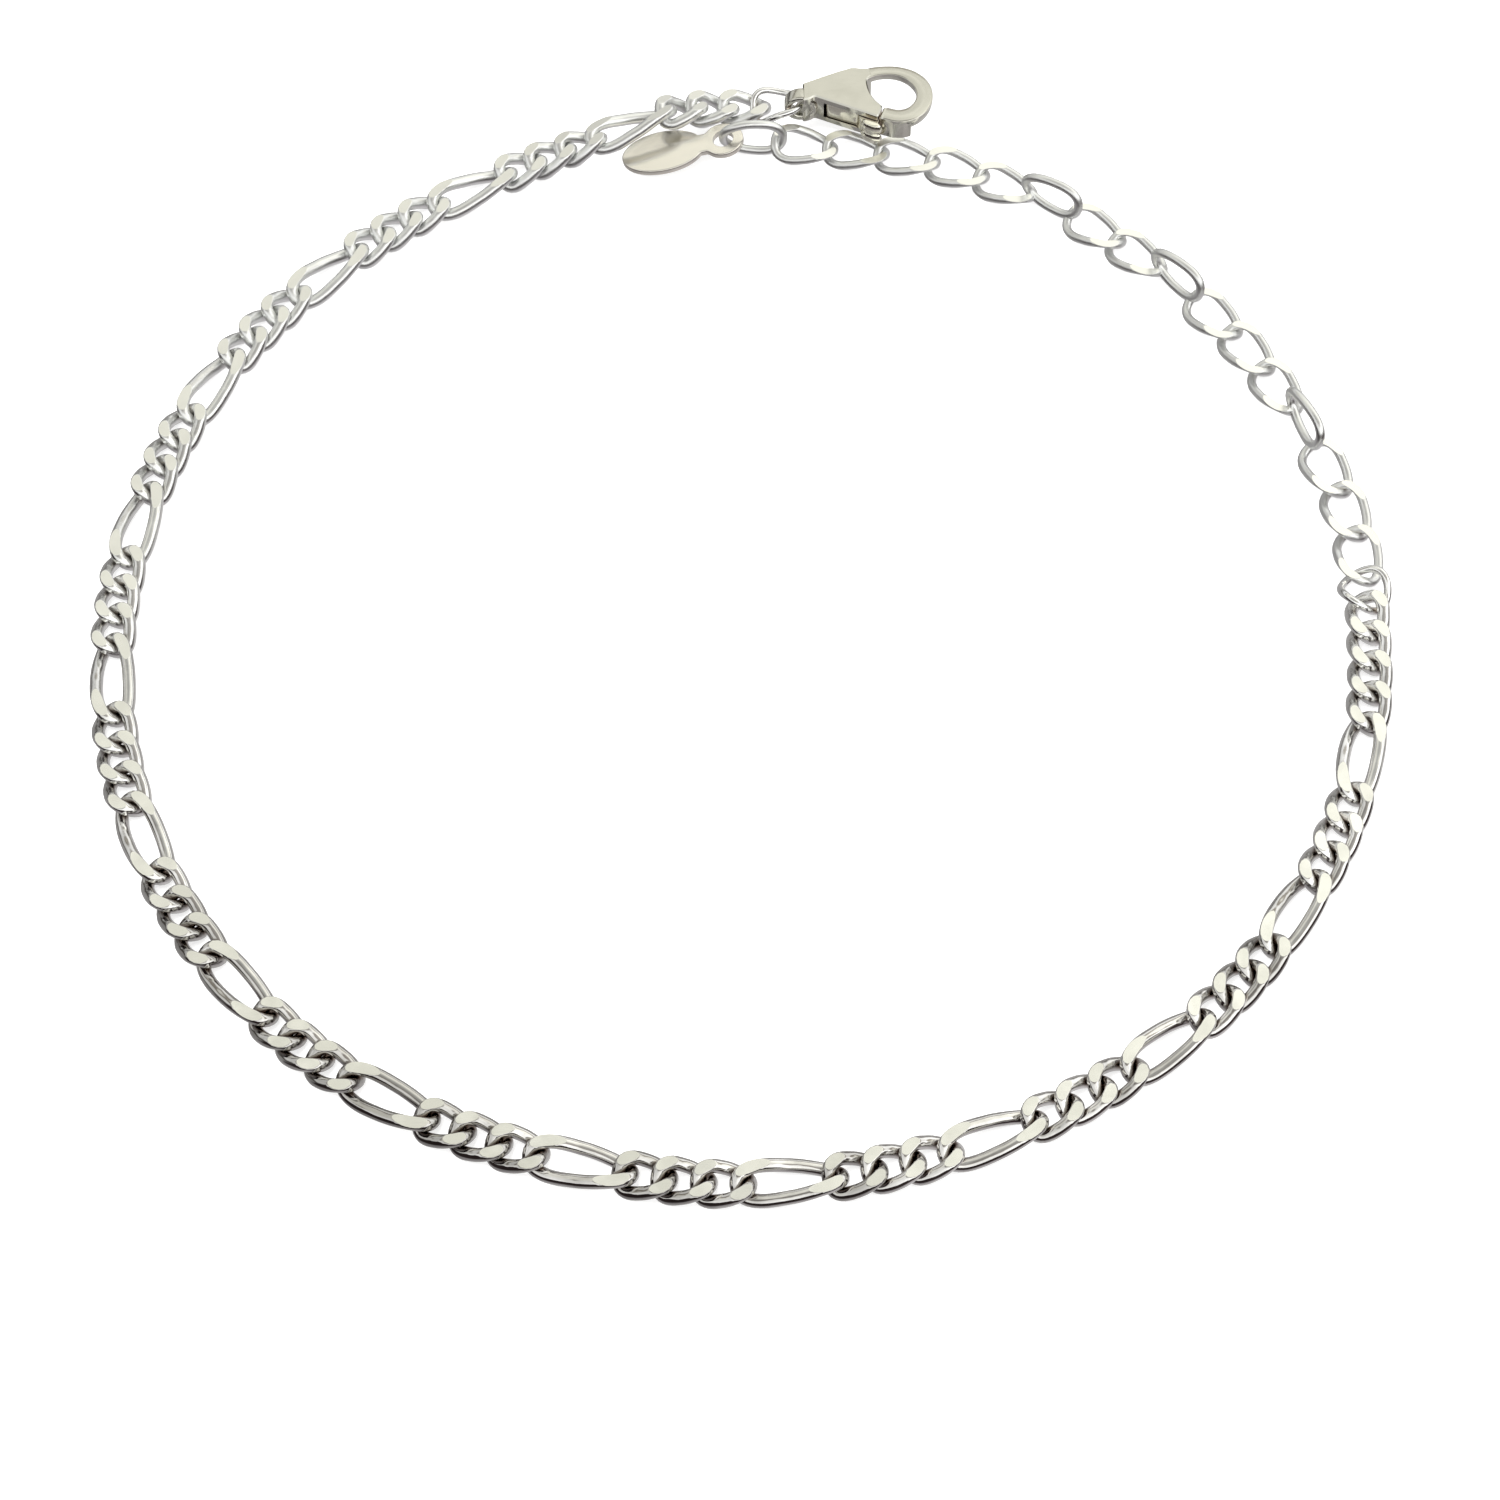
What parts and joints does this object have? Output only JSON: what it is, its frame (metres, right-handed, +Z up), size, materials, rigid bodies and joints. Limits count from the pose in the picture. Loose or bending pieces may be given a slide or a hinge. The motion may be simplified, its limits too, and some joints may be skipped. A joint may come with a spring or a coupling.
{
  "type": "figaro chain bracelet",
  "caption": "Figaro chain bracelet of flattened long and short curb links, with an open-link extension, a plain oval end tag and a sprung lobster clasp.",
  "frame": {"origin": "middle of the bracelet's outline as it lies, on the surface that it lies on", "axes": "+Z up from the surface, +Y towards the clasp and tag, +X towards the ring that joins the extension"},
  "size_m": [0.0752, 0.078, 0.0031],
  "materials": {
    "chain_silver": "sterling silver, diamond-cut flats with a high polish, warm grey sides",
    "extension_silver": "polished sterling silver wire with cut flats on top",
    "clasp_silver": "cast sterling silver, polished, with a faint warm tone",
    "lever_silver": "cast sterling silver, polished on the thumb tab",
    "tag_silver": "stamped sterling silver, polished, blank on both sides"
  },
  "bodies": {
    "bracelet": {"figaro_chain": "chain_silver", "extension_chain": "extension_silver", "connector_ring": "extension_silver", "jump_ring": "extension_silver", "clasp_body": "clasp_silver", "end_tag": "tag_silver"},
    "lever": {"clasp_lever": "lever_silver"}
  },
  "joints": [
    {"name": "lever_hinge", "type": "hinge", "parent": "bracelet", "child": "lever", "pos_m": [0.00699, 0.03707, 0.00202], "axis": [0, 0, -1], "range_deg": [0, 20], "stiffness_Nm_per_rad": 0.002, "springref_deg": -11.46}
  ]
}
